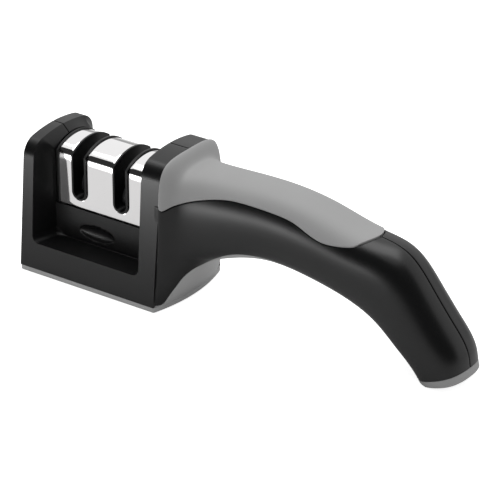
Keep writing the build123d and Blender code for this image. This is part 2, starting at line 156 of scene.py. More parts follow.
def make_floor():
    """A pale table top that stays white to the camera, apart from the object's soft shadow. In mirrors
    it has a painted pool of light in front of the object, on the left: a glow that only glossy rays see."""
    reach = floor_reach * mm
    mesh = bpy.data.meshes.new("floor")
    corners = [(-reach, -reach, 0), (reach, -reach, 0), (reach, reach, 0), (-reach, reach, 0)]
    mesh.from_pydata(corners, [], [(0, 1, 2, 3)])
    material = bpy.data.materials.new("table_top")
    tree = bare_tree(material)
    path = make_node(tree, "ShaderNodeLightPath")
    place = make_node(tree, "ShaderNodeTexCoord")
    away = make_node(tree, "ShaderNodeVectorMath", operation="DISTANCE")
    link(place, "Object", away, 0)
    away.inputs[1].default_value = Vector(pool_place) * mm
    # Painted pool of light: a glow, strongest near its place and fading out, that only glossy rays see.
    pool = make_node(tree, "ShaderNodeMapRange", interpolation_type="SMOOTHSTEP",
                     From_Min=pool_inner * mm, From_Max=pool_outer * mm, To_Min=pool_glow, To_Max=0.0)
    link(away, "Value", pool, "Value")
    mirrored = make_node(tree, "ShaderNodeMath", operation="MULTIPLY")
    link(path, "Is Glossy Ray", mirrored, 0)
    link(pool, 0, mirrored, 1)
    glow_level = make_node(tree, "ShaderNodeMath", operation="MULTIPLY_ADD")
    link(path, "Is Camera Ray", glow_level, 0)
    glow_level.inputs[1].default_value = floor_glow
    link(mirrored, 0, glow_level, 2)
    paint = make_node(tree, "ShaderNodeBsdfDiffuse", Color=(floor_grey, floor_grey, floor_grey, 1))
    glow = make_node(tree, "ShaderNodeEmission")
    link(glow_level, 0, glow, "Strength")
    both = make_node(tree, "ShaderNodeAddShader")
    link(paint, 0, both, 0)
    link(glow, 0, both, 1)
    out = make_node(tree, "ShaderNodeOutputMaterial")
    link(both, 0, out, 0)
    mesh.materials.append(material)
    floor = put("floor", mesh)


def make_card(name, low, high, start, end, glow):
    """A painted reflection: part of an upright cylinder round the table that glows and is seen in mirrors
    only:
    x = r cos a, y = r sin a, for heights in millimetres between low and high and turns in degrees between
    start and end."""
    turn = np.radians(np.linspace(start, end, card_steps + 1))[None, :]
    height = np.array([[low], [high]], float)
    x, y = card_radius * np.cos(turn), card_radius * np.sin(turn)
    grid = np.stack(np.broadcast_arrays(x, y, height), -1)
    step = np.arange(card_steps)
    above = step + card_steps + 1
    faces = np.stack([step, step + 1, above + 1, above], 1)
    mesh = bpy.data.meshes.new(name)
    mesh.from_pydata((grid.reshape(-1, 3) * mm).tolist(), [], faces.tolist())
    card = put(name, mesh)
    card.visible_camera = False
    card.visible_diffuse = False
    card.visible_shadow = False
    material = bpy.data.materials.new(name)
    tree = bare_tree(material)
    shine = make_node(tree, "ShaderNodeEmission", Strength=glow)
    out = make_node(tree, "ShaderNodeOutputMaterial")
    link(shine, 0, out, 0)
    mesh.materials.append(material)


make_camera()
make_room()
make_floor()
# Painted reflections: a faintly glowing dark sheet round the camera's side and a glowing grey sheet behind,
# seen only in mirrors.
make_card("dark_cloth", 40, 2900, -163, 15, 0.03)
make_card("grey_card", 0, 340, 60, 175, 0.4)
make_lamp("overhead_box", (-60, 150, 900), (40, 0, 30), (900, 600), 5)
bpy.context.scene.view_settings.view_transform = "Standard"

# The two half shells. Satin black moulded plastic, split on the upright plane along the middle
# and drawn together by four screws from behind. This part of them is the arched handle: a rounded
# section carried through ribs, which stops where the soft grip begins above and the heel below.
handle_length = 131.0
handle_rise = 59.0
handle_half_width = 12.7
head_half_length = 33.0
head_half_depth = 22.45
right_cheek_height = 62.8
pad_thickness = 2.3
root_half_width = 19.76
seam_half_width = 0.18
skin_depth = 1.6
shell_edge_radius = 0.3
grip_proud = 0.6
grip_gap = 0.3
# Each rib: the x and height of its top point and of its low point, its half width and its fullness.
rib_shares = np.array([
    (-0.0053, 1.0542, -0.0053, 0.0195, 1.556, 0.96),
    (0.0200, 1.0400, 0.0180, 0.1100, 1.500, 0.96),
    (0.0340, 0.9900, 0.0340, 0.1800, 1.350, 0.88),
    (0.0620, 0.9660, 0.0620, 0.2600, 1.180, 0.80),
    (0.1500, 0.9770, 0.1500, 0.3700, 1.060, 0.74),
    (0.3400, 0.9900, 0.3300, 0.4750, 1.008, 0.69),
    (0.5115, 0.9408, 0.4800, 0.4520, 1.000, 0.69),
    (0.6510, 0.8660, 0.5760, 0.4080, 0.992, 0.70),
    (0.7470, 0.8300, 0.6300, 0.3680, 0.992, 0.70),
    (0.7850, 0.7910, 0.6560, 0.3450, 0.992, 0.70),
    (0.8660, 0.5970, 0.7170, 0.2720, 0.992, 0.70),
    (0.9340, 0.4050, 0.7720, 0.1720, 0.988, 0.70),
    (0.9900, 0.2030, 0.8380, 0.0400, 0.975, 0.70),
    (0.9941, 0.1490, 0.8517, 0.0032, 0.968, 0.70),
])
# The edges of the soft grip and of the heel: x and height, as shares of the handle's length and rise.
grip_edge_shares = np.array([
    (0.0085, 0.772), (0.0140, 0.748), (0.0249, 0.743), (0.038, 0.762), (0.059, 0.787), (0.135, 0.851),
    (0.217, 0.893), (0.298, 0.900), (0.382, 0.893), (0.450, 0.869), (0.504, 0.824), (0.546, 0.800),
    (0.592, 0.802), (0.636, 0.817), (0.678, 0.849), (0.700, 0.866),
])
tongue_end = 122.7
tongue_roundness = 18.0
heel_edge_shares = np.array([
    (0.0015, 0.049), (0.0076, 0.039), (0.0168, 0.057), (0.032, 0.122), (0.045, 0.176), (0.0565, 0.228),
    (0.0695, 0.268), (0.097, 0.315), (0.148, 0.397), (0.1855, 0.450), (0.229, 0.495), (0.280, 0.521),
    (0.370, 0.525), (0.460, 0.480), (0.530, 0.400),
])
# The root, where the handle widens to meet the head and swells out to the pad's bowed end.
root_bow = 3.9
root_swell = 2.5
root_swell_height = 20.0
root_squareness = 0.4
root_square_run = 6.0
root_inset = 0.75
root_meet_end = 42.0
root_meet_run = 8.6
root_overrun = 0.2
root_release = 10.0
root_swell_half_width = 20.0
root_end = 90.0
front_lean = 0.0726
# The panels between those edges, and the sloping line where the foot begins.
heel_gap = 0.15
edge_round_share = 0.3
limit_steps = 401
foot_front_height = 7.9
foot_back_height = 0.0


def spline_bends(knots, values):
    """Second derivatives of the natural cubic spline through the values, from one linear system."""
    step = np.diff(knots)
    slope = np.diff(values, axis=0) / step[:, None]
    count = len(knots)
    inner = np.arange(1, count - 1)
    matrix = np.eye(count)
    matrix[inner, inner - 1] = step[:-1]
    matrix[inner, inner] = 2 * (step[:-1] + step[1:])
    matrix[inner, inner + 1] = step[1:]
    right = np.zeros_like(values)
    right[inner] = 6 * (slope[1:] - slope[:-1])
    return np.linalg.solve(matrix, right)


def spline_at(knots, values, at):
    """The natural cubic spline through the values, read at an array of places."""
    bends = spline_bends(knots, values)
    at = np.asarray(at, float)
    index = np.clip(np.searchsorted(knots, at, side="right") - 1, 0, len(knots) - 2)
    step = (knots[index + 1] - knots[index])[..., None]
    left = (knots[index + 1][..., None] - at[..., None]) / step
    right = 1 - left
    return (left * values[index] + right * values[index + 1]
            + ((left ** 3 - left) * bends[index] + (right ** 3 - right) * bends[index + 1])
            * step ** 2 / 6)


rib_values = rib_shares * (handle_length, handle_rise, handle_length, handle_rise, handle_half_width, 1)
rib_values[:, [0, 2]] += head_half_length
rib_middles = (rib_values[:, 0:2] + rib_values[:, 2:4]) / 2
rib_places = np.concatenate([[0], np.cumsum(np.linalg.norm(np.diff(rib_middles, axis=0), axis=1))])


def handle_point(turn, along):
    """A point on the handle. The ribs give the top point, low point, half width and fullness at a
    distance along; turn runs 0 at the top, 0.5 at the front side, 1 at the bottom and on to 2 round
    the back, over four Bezier quarters whose handles are the fullness long."""
    turn, along = np.broadcast_arrays(np.asarray(turn, float), np.asarray(along, float))
    turn = np.where(turn > 1, turn - 2, turn)
    row = spline_at(rib_places, rib_values, along)
    part = np.abs(turn) * 2
    upper = part <= 1
    square = root_squareness * np.clip(1 - along / root_square_run, 0, 1) ** 2
    full = row[..., 5] + np.where(upper, 0, square)
    part = np.where(upper, part, part - 1)
    rest = 1 - part
    near = rest ** 3 + 3 * rest ** 2 * part + full * 3 * rest * part ** 2
    far = full * 3 * rest ** 2 * part + 3 * rest * part ** 2 + part ** 3
    rise = np.where(upper, near, -far)
    reach = np.where(upper, far, near)
    x = (row[..., 0] + row[..., 2]) / 2 + rise * (row[..., 0] - row[..., 2]) / 2
    z = (row[..., 1] + row[..., 3]) / 2 + rise * (row[..., 1] - row[..., 3]) / 2
    y = -np.sign(turn) * reach * row[..., 4]
    return spread_root(x, y, z)


def spread_root(x, y, z):
    """Widen the section next to the head until it meets the leaning front, and push its lower part
    out to the bowed end of the base pad: a bow that is square in y and fades upwards, and a swell
    that is half a sine wave up to the swell's height."""
    front = head_half_depth - root_inset - front_lean * (z - pad_thickness)
    near = np.clip((root_meet_end - x) / root_meet_run, 0, 1) ** 3
    y = y * (1 + near * np.clip(front / root_half_width - 1, 0, None))
    limit = np.maximum(front, root_half_width + root_overrun) + (1 - near) * root_release
    y = np.clip(y, -limit, limit)
    low = np.clip((z - pad_thickness) / root_swell_height, 0, 1)
    bow = root_bow * (1 - low) ** 1.5 * np.clip(1 - (y / head_half_depth) ** 2, 0, None)
    swell = root_swell * np.sin(math.pi * low) * np.clip(1 - (y / root_swell_half_width) ** 4, 0, None)
    return np.stack([x + np.where(x < root_end, bow + swell, 0), y, z], -1)


def handle_slopes(turn, along):
    """How the handle's point moves with turn and with along, by small differences."""
    turn_step, along_step = 1e-3, 1e-2
    by_turn = handle_point(turn + turn_step, along) - handle_point(turn - turn_step, along)
    by_along = handle_point(turn, along + along_step) - handle_point(turn, along - along_step)
    return by_turn / 2 / turn_step, by_along / 2 / along_step


def handle_skin(turn, along, proud):
    """A point that stands proud of the handle along its outward normal."""
    by_turn, by_along = handle_slopes(turn, along)
    normal = np.cross(by_turn, by_along)
    normal /= np.linalg.norm(normal, axis=-1, keepdims=True)
    return handle_point(turn, along) + normal * np.asarray(proud)[..., None]


def crossing(turns, field):
    """The turn at which each row of a field first changes sign, or the first turn where it is
    negative from the start and the last one where it never changes."""
    inside = field > 0
    first = np.argmax(~inside, axis=1)
    never = inside.all(axis=1)
    index = np.clip(first, 1, None)
    rows = np.arange(len(field))
    low, high = field[rows, index - 1], field[rows, index]
    share = np.where(low == high, 0, low / np.where(low == high, 1, low - high))
    found = turns[index - 1] + np.clip(share, 0, 1) * (turns[index] - turns[index - 1])
    return np.where(never, turns[-1], np.where(first == 0, turns[0], found))


def drawn_edge(edge_shares, x):
    """Height of a soft piece's edge at an x, on the spline through the edge's points."""
    outline = edge_shares * (handle_length, handle_rise) + (head_half_length, 0)
    return spline_at(outline[:, 0], outline[:, 1:], np.clip(x, outline[0, 0], outline[-1, 0]))[..., 0]


def grip_limit(along, gap, proud):
    """The turn of the grip's lower edge and round tip at each distance along, moved out by a gap."""
    turns = np.linspace(0, 0.6, limit_steps)
    points = handle_skin(turns[None, :], np.asarray(along)[:, None], np.full((len(along), 1), float(proud)))
    x, y, z = np.moveaxis(points, -1, 0)
    tongue = tongue_end - y ** 2 / tongue_roundness - x
    return crossing(turns, np.minimum(z - drawn_edge(grip_edge_shares, x), tongue) + gap)


def heel_limit(along, gap):
    """The turn of the heel's upper edge at each distance along, raised by a gap."""
    turns = np.linspace(1, 0.4, limit_steps)
    points = handle_point(turns[None, :], np.asarray(along)[:, None])
    x, z = points[..., 0], points[..., 2]
    heel_reach = heel_edge_shares[-1, 0] * handle_length + head_half_length
    return crossing(turns, np.minimum(drawn_edge(heel_edge_shares, x) + gap - z, heel_reach + gap - x))


def foot_height(x):
    """Height of the sloping line between the black handle and its foot."""
    back_x = rib_values[-2, 2]
    front_x = head_half_length + handle_length
    return foot_back_height + (foot_front_height - foot_back_height) * (x - back_x) / (front_x - back_x)


def level_along(turn, height_of, guess_low, guess_high):
    """The distance along at which each turn's line comes down to a height that depends on x."""
    places = np.linspace(guess_low, guess_high, 400)
    points = handle_point(np.asarray(turn)[:, None], places[None, :])
    return crossing(places, points[..., 2] - height_of(points[..., 0]))


def rounded_panel(start, end, along, drop, proud, depth, radius, count, warp=None):
    """A moulded skin on the handle between two limits of turn: one closed ring of points for each
    distance along. Each ring goes up the wall, over a rounded edge, across, over the other edge and
    down. Drop lowers whole rings, which rounds the panel's ends."""
    by_start = np.linalg.norm(handle_slopes(start, along)[0], axis=-1)
    by_end = np.linalg.norm(handle_slopes(end, along)[0], axis=-1)
    width = (end - start) * (by_start + by_end) / 2
    round_here = np.minimum(radius, width * edge_round_share)[:, None]
    bend = np.linspace(0, math.pi / 2, 6)[None, :]
    inward = round_here * (1 - np.cos(bend))
    lift = -round_here * (1 - np.sin(bend))
    first = start[:, None] + inward / by_start[:, None]
    last = end[:, None] - inward[:, ::-1] / by_end[:, None]
    share = np.linspace(0, 1, count)[None, 1:-1]
    middle = first[:, -1:] + (last[:, :1] - first[:, -1:]) * share
    foot = np.full((len(along), 1), -depth)
    turn = np.hstack([start[:, None], first, middle, last, end[:, None]])
    level = np.hstack([foot, lift, np.zeros_like(middle), lift[:, ::-1], foot])
    level = np.maximum(level - drop[:, None], -depth) + proud
    run = np.broadcast_to(along[:, None], turn.shape) if warp is None else warp(turn, along)
    return handle_skin(turn, run, level)


merge_distance = 2e-6


def close_mesh(name, grids, material, ring=True, sharp=35, fills=(), close=True):
    """Join grids of points into one mesh: neighbours in each grid make four-sided faces, each fill is
    one flat face, doubles are merged, open ends are closed and the faces turned outwards."""
    points, faces, start = [], [], 0
    for grid in grids:
        rows, columns = grid.shape[:2]
        index = start + np.arange(rows * columns).reshape(rows, columns)
        if ring:
            index = np.hstack([index, index[:, :1]])
        corners = [index[:-1, :-1], index[1:, :-1], index[1:, 1:], index[:-1, 1:]]
        faces.append(np.stack(corners, -1).reshape(-1, 4))
        points.append(grid.reshape(-1, 3) * mm)
        start += rows * columns
    faces = np.vstack(faces).tolist()
    for fill in fills:
        faces.append(list(range(start, start + len(fill))))
        points.append(np.asarray(fill) * mm)
        start += len(fill)
    mesh = bpy.data.meshes.new(name)
    mesh.from_pydata(np.vstack(points).tolist(), [], faces)
    work = bmesh.new()
    work.from_mesh(mesh)
    bmesh.ops.remove_doubles(work, verts=work.verts, dist=merge_distance)
    bmesh.ops.dissolve_degenerate(work, edges=work.edges, dist=1e-7)
    if close:
        bmesh.ops.holes_fill(work, edges=[edge for edge in work.edges if edge.is_boundary], sides=0)
    bmesh.ops.recalc_face_normals(work, faces=work.faces)
    work.to_mesh(mesh)
    work.free()
    mesh.shade_smooth()
    mesh.set_sharp_from_angle(angle=math.radians(sharp))
    mesh.materials.append(material)
    return put(name, mesh)


def surface_material(name, colour, roughness, grain, bump, spread=0.06, metal=0.0, specular=0.5):
    """A finish with fine grain: a noise in object space moves the colour and roughness a little and
    lifts the surface by a hair, and a slower noise adds the patches of handling."""
    material = bpy.data.materials.new(name)
    material.use_nodes = True
    tree = material.node_tree
    shader = tree.nodes["Principled BSDF"]
    shader.inputs["Metallic"].default_value = metal
    shader.inputs["Specular IOR Level"].default_value = specular
    place = make_node(tree, "ShaderNodeTexCoord")
    fine = make_node(tree, "ShaderNodeTexNoise", Scale=1 / (grain * mm), Detail=3.0, Roughness=0.55)
    slow = make_node(tree, "ShaderNodeTexNoise", Scale=55.0, Detail=4.0, Roughness=0.6)
    link(place, "Object", fine, "Vector")
    link(place, "Object", slow, "Vector")
    tint = make_node(tree, "ShaderNodeMapRange", To_Min=1 - spread, To_Max=1 + spread)
    link(slow, "Fac", tint, "Value")
    paint = make_node(tree, "ShaderNodeVectorMath", operation="SCALE")
    paint.inputs[0].default_value = colour
    link(tint, 0, paint, "Scale")
    link(paint, 0, shader, "Base Color")
    both = make_node(tree, "ShaderNodeMath", operation="ADD")
    link(fine, "Fac", both, 0)
    link(slow, "Fac", both, 1)
    rough = make_node(tree, "ShaderNodeMapRange", From_Min=0.6, From_Max=1.4,
                      To_Min=roughness * 0.9, To_Max=roughness * 1.1)
    link(both, 0, rough, "Value")
    link(rough, 0, shader, "Roughness")
    lift = make_node(tree, "ShaderNodeBump", Strength=1.0, Distance=bump * mm)
    link(fine, "Fac", lift, "Height")
    link(lift, 0, shader, "Normal")
    return material


black_moulding = surface_material("black_moulding", (0.0055, 0.0055, 0.0058), 0.32, 0.35, 0.004,
                                  specular=0.38)
middle_rib = 6
tail_rib = 9
tail_overrun = 5.0
tongue_shift = 6.0
heel_tip_before = 14.0
heel_tip_after = 4.0
tail_start = rib_places[tail_rib]
tail_end = rib_places[-1] + tail_overrun
even_places = np.linspace(0, tail_start, 150)
middle_place, next_place = rib_places[middle_rib:middle_rib + 2]
near_tongue = np.linspace(middle_place + tongue_shift, next_place + tongue_shift, 70)
near_heel = np.linspace(middle_place - heel_tip_before, middle_place + heel_tip_after, 40)
handle_along = np.unique(np.concatenate([even_places, near_tongue, near_heel]).round(3))


def shell_warp(turn, along):
    """Past the last rib before the tail, stretch the rows so that the last one follows the foot."""
    flat = np.clip(np.abs(np.where(turn > 1, 2 - turn, turn)), 0, 1)
    sample = np.linspace(0, 1, 161)
    end = np.interp(flat, sample, level_along(sample, foot_height, tail_start, tail_end))
    share = np.clip((along[:, None] - tail_start) / (tail_end - tail_start), 0, None)
    return np.where(along[:, None] <= tail_start, along[:, None], tail_start + (end - tail_start) * share)


tail_places = tail_start + (tail_end - tail_start) * np.linspace(0, 1, 70)[1:]
shell_along = np.concatenate([handle_along, tail_places])
seam_speed = np.linalg.norm(handle_slopes(np.zeros_like(shell_along), shell_along)[0], axis=-1)
low_speed = np.linalg.norm(handle_slopes(np.ones_like(shell_along), shell_along)[0], axis=-1)
top_limit = np.maximum(grip_limit(shell_along, grip_gap, 0), seam_half_width / seam_speed)
low_limit = np.minimum(heel_limit(shell_along, heel_gap), 1 - seam_half_width / low_speed)
handle_half = rounded_panel(top_limit, low_limit, shell_along, np.zeros_like(shell_along), 0.0, skin_depth,
                            shell_edge_radius, 70, shell_warp)
handle_front = close_mesh("handle_front", [handle_half], black_moulding)
handle_rear = close_mesh("handle_rear", [handle_half * (1, -1, 1)], black_moulding)
for piece in (handle_front, handle_rear):
    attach(piece, "root")

# The head. The same two mouldings end in a saddle: two leaning cheeks with crowned tops, sloping
# shoulders between them and the arched cover, and a low body whose floor rises in a soft fillet
# into the wall below the cover, which has a shallow finger dimple.
left_cheek_height = 57.1
left_cheek_thickness = 5.7
right_cheek_thickness = 8.9
left_lean_share = 0.0144
right_lean_share = 0.0234
front_lean_share = 0.0666
crown_radius = 62.0
cheek_corner_radius = 7.5
left_shoulder_length = 2.9
right_shoulder_length = 3.7
left_pair_height = 38.1
right_pair_height = 39.9
recess_floor_height = 13.4
recess_fillet = 3.0
wall_thickness = 2.4
dimple_length = 17.0
dimple_height = 6.4
dimple_depth = 1.2
dimple_centre_height = 18.6
dimple_offset = -4.0
cover_half_depth = 11.5
cover_middle = 2.5
cover_bottom_height = 27.5
cover_bend_height = 50.2
cover_top_height = 53.8
rim_proud = 0.5
bay_floor_height = 12.85
wall_drop = 0.3
corner_tightness = 0.88
corner_run = 3.0
dimple_fullness = 0.6
dimple_span_shares = (0.18, 0.68)
cheek_shares = (0.0, 0.05, 0.15, 0.4, 0.7, 1.0)
head_edge_radius = 0.5
seam_reach = 0.4
seam_round = 0.15
collar_half_depth = cover_half_depth + rim_proud
collar_top = cover_top_height + rim_proud
opening_left = -head_half_length + left_cheek_thickness
opening_right = head_half_length - right_cheek_thickness + right_lean_share * cover_top_height
bay_left = opening_left + left_shoulder_length
bay_right = opening_right - right_shoulder_length
wall_top_height = cover_bottom_height - wall_drop
most_rows = 300
fillet_rows = 9
wall_rows = 40
fillet_span = slice(2, 2 + fillet_rows)
wall_foot_row = fillet_span.stop - 1
wall_top_row = wall_foot_row + wall_rows - 1
fillet_bend = np.linspace(0, math.pi / 2, fillet_rows)
fillet_reach = np.zeros(most_rows)
fillet_reach[:fillet_span.start] = recess_fillet
fillet_reach[fillet_span] = recess_fillet * (1 - np.sin(fillet_bend))


def arc_between(start, end, centre, count):
    """Points on the circle round a centre from one point to another, the short way."""
    first = math.atan2(start[1] - centre[1], start[0] - centre[0])
    last = math.atan2(end[1] - centre[1], end[0] - centre[0])
    radius = math.hypot(start[0] - centre[0], start[1] - centre[1])
    turn = np.linspace(first, last, count)
    return np.stack([centre[0] + radius * np.cos(turn), centre[1] + radius * np.sin(turn)], 1)


def side_levels(corner_start):
    """Heights of the rows up a side: foot, lip, floor fillet, wall, and on to the round corner."""
    fillet = recess_floor_height + recess_fillet * (1 - np.cos(fillet_bend))
    wall = np.linspace(fillet[-1], wall_top_height, wall_rows)[1:]
    upper = np.linspace(wall_top_height, corner_start, 9)[1:]
    return np.concatenate([[pad_thickness, recess_floor_height], fillet, wall, upper])


def seam_rows(edge):
    """The small round that turns a row down into the seam."""
    turn = np.linspace(0, math.pi / 2, 5)[1:]
    return np.stack([edge[0] + seam_round * np.sin(turn), edge[1] - seam_round * (1 - np.cos(turn))], 1)


def cheek_rows(height):
    """Front half of a cheek's end view as (y, z) rows: a leaning side, a round corner that touches
    the side and the crown's circle, then the crown up to the seam."""
    shoulder = head_half_depth - front_lean_share * height
    crown_middle = height - crown_radius
    edge_z = crown_middle + math.sqrt(crown_radius ** 2 - shoulder ** 2)
    along = np.array([head_half_depth - shoulder, edge_z - pad_thickness])
    along /= np.hypot(*along)
    outward = np.array([-along[1], along[0]])
    start = np.array([-head_half_depth, pad_thickness - crown_middle]) - outward * cheek_corner_radius
    middle = start @ along
    reach = math.sqrt(middle ** 2 - start @ start + (crown_radius - cheek_corner_radius) ** 2) - middle
    centre = start + along * reach
    side_end = centre + outward * cheek_corner_radius
    corner_end = centre * crown_radius / (crown_radius - cheek_corner_radius)
    origin = np.array([0, crown_middle])
    levels = side_levels(side_end[1] + crown_middle)
    side = np.stack([-head_half_depth + (levels - pad_thickness) * along[0] / along[1], levels], 1)
    corner = arc_between(side_end, corner_end, centre, 12)[1:] + origin
    seam = (-seam_half_width - seam_round, crown_radius)
    crown = arc_between(corner_end, seam, (0, 0), 24)[1:] + origin
    return np.vstack([side, corner, crown, seam_rows(crown[-1])])


def collar_rows(corner_start, middle):
    """One side of the collar round the cover up to the seam, in as many rows as a cheek has. Its arch
    is a circle about a middle that lies behind the seam."""
    corner_levels = np.linspace(corner_start, cover_bend_height, 12)[1:]
    levels = np.concatenate([side_levels(corner_start), corner_levels])
    side = np.stack([np.full_like(levels, middle - collar_half_depth), levels], 1)
    sagitta = collar_top - cover_bend_height
    radius = (collar_half_depth ** 2 + sagitta ** 2) / 2 / sagitta
    seam_y = -seam_half_width - seam_round
    seam = (seam_y, collar_top - radius + math.sqrt(radius ** 2 - (seam_y - middle) ** 2))
    crown = arc_between(side[-1], seam, (middle, collar_top - radius), 24)[1:]
    return np.vstack([side, crown, seam_rows(crown[-1])])


def cheek_grid(height, end_x, lean, opening, bay, pair_height, middle):
    """One cheek and its shoulder: columns from the outer end to the bay, rows up the end view. Each
    column of the shoulder is a mix of the cheek's rows and the collar's. In the rows of the floor
    fillet the shoulder stands off by the fillet's reach and its ends slide to meet their neighbours."""
    cheek, collar = cheek_rows(height), collar_rows(pair_height, middle)
    reach = fillet_reach[:len(cheek)]
    side = np.sign(bay - opening)
    run = np.array([abs(bay - opening), middle - collar_half_depth - cheek[1, 0]])
    run /= np.hypot(*run)
    normal = np.array([run[1], -run[0]])
    front_slide = run[0] / run[1]
    back_slide = -(1 - run[0]) / run[1]
    outer_x = end_x + lean * cheek[:, 1]
    inner_x = opening + side * (normal[0] + run[0] * front_slide) * reach
    columns = []
    for part in cheek_shares:
        columns.append(np.column_stack([outer_x + (inner_x - outer_x) * part, cheek]))
    for part in np.linspace(0, 1, 16)[1:]:
        base = cheek + (collar - cheek) * part
        slide = front_slide + (back_slide - front_slide) * part
        x = opening + (bay - opening) * part + side * reach * (normal[0] + run[0] * slide)
        y = base[:, 0] + reach * (normal[1] + run[1] * slide)
        y[:2] = cheek[:2, 0]
        columns.append(np.column_stack([x, y, base[:, 1]]))
    return np.stack(columns)


def bay_grid(left_column, right_column):
    """The low body and the wall between the shoulders: columns along x, the shoulder's lower rows,
    then over the wall's top and down its inner side. Away from its ends the floor's fillet tightens
    to a crisp corner. The dimple is a dish pressed into the wall."""
    part = np.concatenate([np.linspace(0, 1, 41), np.linspace(*dimple_span_shares, 90)])
    part = np.unique(part)[:, None, None]
    rows = slice(0, wall_top_row + 1)
    grid = left_column[None, rows] * (1 - part) + right_column[None, rows] * part
    from_end = np.minimum(part[..., 0], 1 - part[..., 0]) * (bay_right - bay_left)
    tight = corner_tightness * (1 - np.exp(-(from_end / corner_run) ** 2))
    grid[:, fillet_span, 1] += fillet_reach[fillet_span] * tight
    grid[:, fillet_span, 2] -= (grid[:, fillet_span, 2] - recess_floor_height) * tight
    wall_foot = grid[:, wall_foot_row, None, 2]
    grid[:, wall_foot_row:, 2] = wall_foot + (wall_top_height - wall_foot) * np.linspace(0, 1, wall_rows)
    across = (grid[..., 0] - dimple_offset) / (dimple_length / 2)
    upward = (grid[..., 2] - dimple_centre_height) / (dimple_height / 2)
    dish = np.clip(1 - across ** 2 - upward ** 2, 0, None) ** dimple_fullness
    on_wall = np.arange(wall_top_row + 1) >= fillet_span.start
    grid[..., 1] += dimple_depth * dish * on_wall
    inner = grid[:, -1:].copy()
    inner[..., 0] = bay_left + (bay_right - bay_left) * part[..., 0]
    inner[..., 1] += wall_thickness
    low = inner.copy()
    low[..., 2] = bay_floor_height
    return np.concatenate([grid, inner, low], 1)


def soften(piece, width, seam_share=0.25, least=35):
    """Round every edge sharper than an angle with a bevel, and the seam's own edges less. The edge's
    weight comes from the angle between the normals of its two faces."""
    mesh = piece.data
    edge_of_loop = np.empty(len(mesh.loops), np.int32)
    mesh.loops.foreach_get("edge_index", edge_of_loop)
    starts = np.empty(len(mesh.polygons), np.int32)
    mesh.polygons.foreach_get("loop_start", starts)
    normals = np.empty(len(mesh.polygons) * 3)
    mesh.polygons.foreach_get("normal", normals)
    face_of_loop = np.searchsorted(starts, np.arange(len(mesh.loops)), side="right") - 1
    order = np.argsort(edge_of_loop, kind="stable")
    first = np.searchsorted(edge_of_loop[order], np.arange(len(mesh.edges)))
    pair = face_of_loop[order[np.stack([first, np.minimum(first + 1, len(order) - 1)], 1)]]
    normals = normals.reshape(-1, 3)
    turn = np.degrees(np.arccos(np.clip((normals[pair[:, 0]] * normals[pair[:, 1]]).sum(1), -1, 1)))
    ends = np.empty(len(mesh.edges) * 2, np.int32)
    mesh.edges.foreach_get("vertices", ends)
    places = np.empty(len(mesh.vertices) * 3)
    mesh.vertices.foreach_get("co", places)
    near_seam = (np.abs(places.reshape(-1, 3)[ends.reshape(-1, 2), 1]) < seam_reach * mm).all(1)
    weight = np.where(turn > least, np.where(near_seam, seam_share, 1.0), 0.0).astype(np.float32)
    layer = mesh.attributes.new("bevel_weight_edge", "FLOAT", "EDGE")
    layer.data.foreach_set("value", weight)
    bevel = piece.modifiers.new("edges", "BEVEL")
    bevel.limit_method = "WEIGHT"
    bevel.width = width * mm
    bevel.segments = 3
    bevel.use_clamp_overlap = True


def head_half(name, middle, flip):
    """One half of the head as a closed mesh: both cheeks, the bay, and flat fills for the bottom, the
    ends, the seam face and the bay's inner walls."""
    left = cheek_grid(left_cheek_height, -head_half_length, left_lean_share, opening_left, bay_left,
                      left_pair_height, middle)
    right = cheek_grid(right_cheek_height, head_half_length, right_lean_share, opening_right, bay_right,
                       right_pair_height, middle)
    bay = bay_grid(left[-1], right[-1])
    left_foot = (left[0, 0, 0], -seam_half_width, pad_thickness)
    right_foot = (right[0, 0, 0], -seam_half_width, pad_thickness)
    left_well = (bay_left, -seam_half_width, bay_floor_height)
    right_well = (bay_right, -seam_half_width, bay_floor_height)
    fills = [
        np.vstack([left[:, -1], [left_well, right_well], right[::-1, -1], [right_foot, left_foot]]),
        np.vstack([left[0], [left_foot]]),
        np.vstack([right[0], [right_foot]]),
        np.vstack([left[:, 0], bay[1:-1, 0], right[::-1, 0], [right_foot, left_foot]]),
        np.vstack([left[-1, wall_top_row:], [left_well], bay[0, :-3:-1]]),
        np.vstack([right[-1, wall_top_row:], [right_well], bay[-1, :-3:-1]]),
        np.vstack([bay[:, -1], [right_well, left_well]]),
    ]
    return close_mesh(name, [grid * flip for grid in (left, bay, right)], black_moulding, False, 30,
                      [fill * flip for fill in fills])


head_front = head_half("head_front", cover_middle, (1, 1, 1))
head_rear = head_half("head_rear", -cover_middle, (1, -1, 1))
for piece, node in ((head_front, "front_shell"), (head_rear, "rear_shell")):
    soften(piece, head_edge_radius)
    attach(piece, "root")
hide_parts("front_shell")
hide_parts("front_shell")
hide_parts("rear_shell")
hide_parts("rear_shell")

# The cover. Polished chrome plate, bent to an arch over two upright sides, with two round-bottomed
# slots that the knife passes through. The sides curl in a little before the bend into the arch.
polished_chrome = surface_material("polished_chrome", (0.85, 0.84, 0.84), 0.06, 0.8, 0.0004, 0.02, 1.0)
cover_left_gap = 0.5
cover_right_gap = 1.05
cover_left = bay_left + cover_left_gap
cover_right = bay_right - cover_right_gap
cover_thickness = 0.8
cover_edge_radius = 0.15
cover_lip_height = 29.0
cover_curl_radius = 16.0
cover_curl = math.radians(10)
cover_curl_end = 49.1
slot_half_width = 3.65
slot_bottom_height = 30.9
slot_centres = (-12.5, 7.9)


